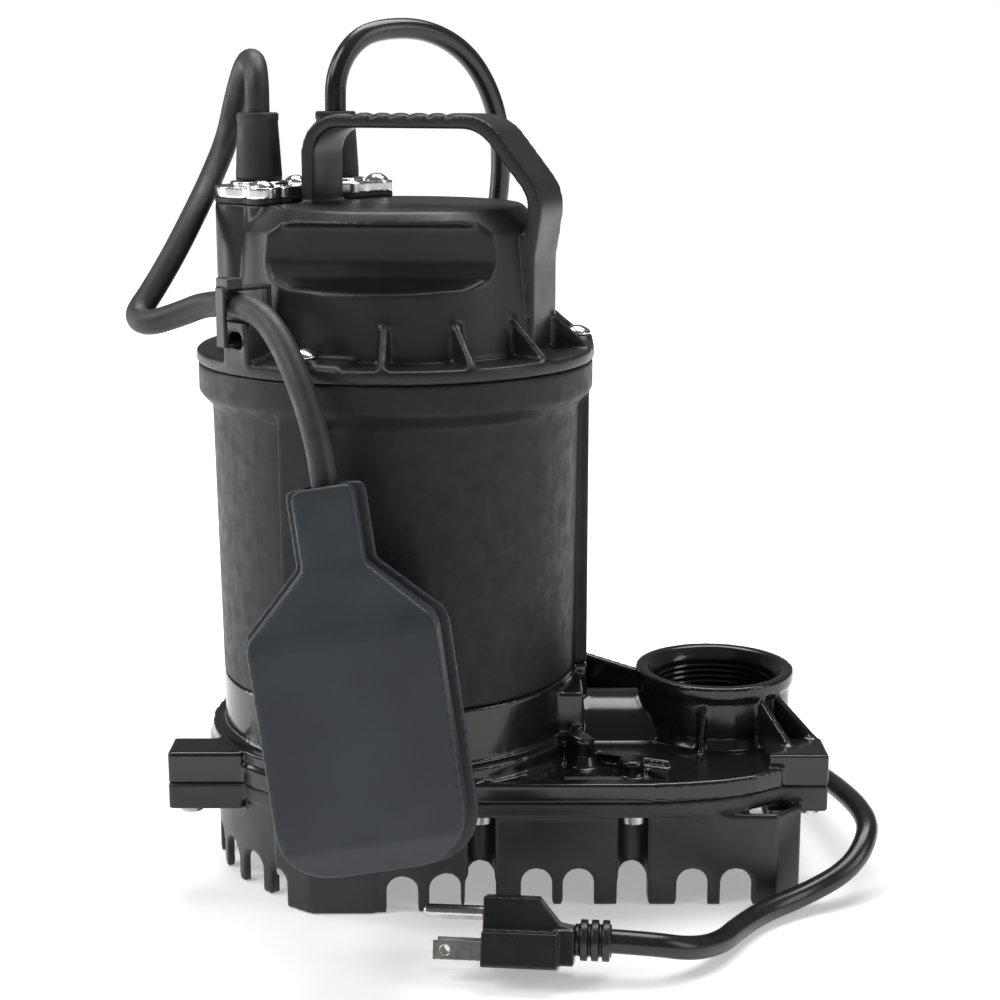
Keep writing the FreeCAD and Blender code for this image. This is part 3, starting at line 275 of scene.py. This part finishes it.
POWER_DROP = [
    (-59.4, 66.0, 262.0),
    (-59.4, 66.0, 276.0),
    (-59.2, 66.2, 288.8),
    (-54.0, 70.2, 300.0),
    (-45.0, 77.2, 306.3),
    (-25.5, 92.0, 307.0),
    (-9.0, 104.8, 297.0),
    (1.0, 113.5, 277.5),
    (3.5, 118.5, 254.0),
    (0.0, 121.5, 226.0),
    (-8.0, 124.0, 184.0),
    (-17.0, 126.0, 138.0),
    (-26.0, 128.5, 98.0),
    (-33.0, 131.0, 66.0),
    (-34.5, 134.5, 45.0),
    (-24.5, 137.5, 31.5),
]
POWER_TAIL = [
    (-16.0, 139.2, 4.0),
    (22.0, 132.4, 4.2),
    (60.0, 123.0, 5.2),
    (101.0, 107.0, 8.5),
    (125.0, 76.5, 14.5),
    (132.5, 35.0, 20.0),
    (137.5, 3.0, 22.0),
    (137.0, -15.0, 20.0),
    (128.0, -28.0, 11.5),
    (110.0, -37.0, 5.5),
    (94.0, -48.0, 4.2),
    (84.0, -61.0, 4.2),
    (76.5, -74.5, 5.0),
    (65.5, -86.5, 8.5),
    (52.0, -91.2, 12.6),
    (39.0, -90.0, 13.0),
]
FLOAT_CORD = [
    (-85.5, 39.5, 262.0),
    (-85.5, 39.5, 276.0),
    (-85.5, 40.0, 287.5),
    (-87.5, 49.0, 295.0),
    (-92.0, 61.0, 293.5),
    (-97.0, 68.5, 281.0),
    (-100.5, 68.5, 266.0),
    (-105.0, 54.5, 252.0),
    (-109.0, 36.5, 240.0),
    (-115.0, 23.0, 226.0),
    (-122.0, 13.0, 213.0),
    (-126.5, 5.5, 206.0),
    (-121.0, -1.5, 204.0),
    (-110.0, -4.5, 207.5),
    (-97.12, -10.75, 213.0),
    (-87.64, -20.36, 213.0),
]
FLOAT_TETHER = [
    (-87.36, -20.64, 213.0),
    (-79.64, -28.47, 213.0),
    (-70.2, -39.5, 204.5),
    (-61.5, -51.5, 187.5),
    (-56.52, -58.37, 172.28),
    (-54.5, -60.5, 159.0),
    (-54.1, -61.0, 156.0),
]
COIL_CENTRE = (-8.0, 184.5)
COIL_PLACES = [(46, 28), (38, 28), (38, 20), (46, 20), (46, 12), (38, 12), (38, 4), (46, 4)]
COIL_HOLD, COIL_SHIFT = 320, 40  # degrees to a place, and of those the first that are a change of place
COIL_STEP, COIL_END, COIL_START = 20, 2500, -90


def coil_points():
    """Turns beside and on each other; each change of place comes 40 degrees before the one under it."""
    points = []
    for turned in range(0, COIL_END + 1, COIL_STEP):
        place, along = divmod(turned, COIL_HOLD)
        here = COIL_PLACES[min(place, len(COIL_PLACES) - 1)]
        radius, height = here
        if place and along < COIL_SHIFT:
            share = along / COIL_SHIFT
            before = COIL_PLACES[place - 1]
            radius = before[0] + share * (here[0] - before[0])
            height = before[1] + share * (here[1] - before[1])
        angle = math.radians(turned + COIL_START)
        x = COIL_CENTRE[0] + radius * math.cos(angle)
        y = COIL_CENTRE[1] + radius * math.sin(angle)
        points.append((x, y, height))
    return points


def nurbs(name, points, radius, key, body):
    data = bpy.data.curves.new(name, "CURVE")
    data.dimensions = "3D"
    data.bevel_depth = radius * MM
    data.bevel_resolution = 7
    data.resolution_u = 8
    data.use_fill_caps = True
    spline = data.splines.new("NURBS")
    spline.points.add(len(points) - 1)
    for spot, (x, y, z) in zip(spline.points, points):
        spot.co = (x * MM, y * MM, z * MM, 1)
    spline.order_u = 3
    spline.use_endpoint_u = True
    spline.use_smooth = True
    piece = bpy.data.objects.new(name, data)
    bpy.context.collection.objects.link(piece)
    paint(piece, key)
    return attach(piece, body)


power = nurbs("power_lead", POWER_DROP + coil_points() + POWER_TAIL, 3.95, "cord_jacket", "pump")
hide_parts("power_cord", "power_cord_coil", "power_cord_tail")
float_lead = nurbs("float_lead", FLOAT_CORD, 4.45, "cord_matte", "pump")
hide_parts("float_cord")
tether = nurbs("float_tether_lead", FLOAT_TETHER, 4.45, "cord_matte", "float")
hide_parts("float_tether")


# ---- meshes -----------------------------------------------------------------------------------

def add_piece(name, mesh, key, body):
    piece = bpy.data.objects.new(name, mesh)
    bpy.context.collection.objects.link(piece)
    for face in mesh.polygons:
        face.use_smooth = True
    paint(piece, key)
    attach(piece, body)
    return piece


def settled(mesh, modifiers):
    """The mesh with these modifiers applied."""
    worker = bpy.data.objects.new("worker", mesh)
    bpy.context.collection.objects.link(worker)
    for kind, settings in modifiers:
        modifier = worker.modifiers.new(kind, kind)
        for field, value in settings.items():
            setattr(modifier, field, value)
    graph = bpy.context.evaluated_depsgraph_get()
    done = bpy.data.meshes.new_from_object(worker.evaluated_get(graph))
    bpy.data.objects.remove(worker)
    return done


def moulded(name, node, voxel, passes, key, body):
    """The node's solids as one casting with softened edges and filleted corners; voxel is in millimetres."""
    bm = bmesh.new()
    bm.from_mesh(NODES[node].data)
    mesh = bpy.data.meshes.new(name)
    bm.to_mesh(mesh)
    bm.free()
    mesh = settled(mesh, [
        ("REMESH", {"mode": "VOXEL", "voxel_size": voxel * MM, "use_smooth_shade": True}),
        ("SMOOTH", {"factor": 0.5, "iterations": passes}),
    ])
    mesh.name = name
    piece = add_piece(name, mesh, key, body)
    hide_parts(node)


def lathe(profile, at, key, body, name, segments=64, node=None):
    """A turned piece: (radius, height) in millimetres about the upright line through a point."""
    bm = bmesh.new()
    rings = []
    for radius, height in profile:
        ring = []
        for step in range(segments):
            turn = 2 * math.pi * step / segments
            ring.append(bm.verts.new((radius * MM * math.cos(turn), radius * MM * math.sin(turn), height * MM)))
        rings.append(ring)
    for low, high in zip(rings, rings[1:]):
        for step in range(segments):
            after = (step + 1) % segments
            bm.faces.new((low[step], low[after], high[after], high[step]))
    bm.faces.new(list(reversed(rings[0])))
    bm.faces.new(rings[-1])
    bmesh.ops.recalc_face_normals(bm, faces=bm.faces)
    mesh = bpy.data.meshes.new(name)
    bm.to_mesh(mesh)
    bm.free()
    mesh.transform(Matrix.Translation(at))
    piece = add_piece(name, mesh, key, body)
    if node:
        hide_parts(node)


moulded("volute_casting", "volute", 0.8, 5, "gloss_black", "pump")
moulded("base_casting", "strainer_base", 0.9, 4, "satin_black", "pump")
moulded("cap_casting", "motor_cap", 0.8, 9, "cap_black", "pump")
moulded("housing_shell", "motor_housing", 0.9, 4, "matte_black", "pump")
moulded("float_front", "float_shell_front", 0.7, 12, "float_plastic", "float")
moulded("float_rear", "float_shell_rear", 0.6, 5, "float_plastic", "float")
for side in ("float", "power"):
    moulded(f"{side}_plate_pressing", f"{side}_gland_plate", 0.35, 4, "chrome", "pump")
    moulded(f"{side}_gasket_sheet", f"{side}_gland_gasket", 0.35, 2, "seal_rubber", "pump")
moulded("gland_screw_set", "gland_screws", 0.25, 3, "chrome", "pump")
moulded("cap_screw_set", "cap_screws", 0.3, 3, "chrome", "pump")
moulded("tie_strip", "cable_tie", 0.35, 3, "satin_black", "pump")
moulded("plug_moulding", "plug_body", 0.4, 12, "plug_plastic", "pump")
moulded("plug_relief_rings", "plug_strain_relief", 0.3, 4, "plug_plastic", "pump")
moulded("plug_blade_pair", "plug_blades", 0.22, 2, "nickel", "pump")
moulded("plug_earth_pin", "plug_ground_pin", 0.3, 3, "nickel", "pump")

BOOT = [
    (4.6, 252.0), (8.4, 252.0), (8.45, 254.0), (8.2, 258.0), (7.75, 266.0), (7.35, 272.6), (7.45, 273.0),
    (7.6, 273.5), (7.6, 275.2), (7.35, 275.8), (6.9, 276.0), (5.4, 276.0), (5.0, 275.8), (4.8, 275.2), (4.6, 272.0),
]
GLANDS = {"float": (-50.0, 10.0), "power": (-23.9, 36.5)}
for side, (x, y) in GLANDS.items():
    lathe(BOOT, MOTOR + Vector((x * MM, y * MM, 0)), "seal_rubber", "pump", f"{side}_boot",
          node=f"{side}_cord_boot")

# the outlet's thread, as rings on a thin liner
THREAD_TURNS, THREAD_PITCH = 9, 2.2
LINER_LOW, LINER_TOP, LINER_OUTER = 42.0, 65.0, 23.4
ROOT, CREST = 22.9, 22.15
THREAD = [(LINER_OUTER, LINER_LOW), (LINER_OUTER, LINER_TOP)]
for turn in range(THREAD_TURNS):
    high = LINER_TOP - 2.0 - THREAD_PITCH * turn
    THREAD += [(ROOT, high + 0.7), (CREST, high), (CREST, high - 0.35), (ROOT, high - 1.05)]
THREAD.append((ROOT, LINER_LOW))
lathe(THREAD, OUTLET, "gloss_black", "pump", "outlet_thread", segments=96)
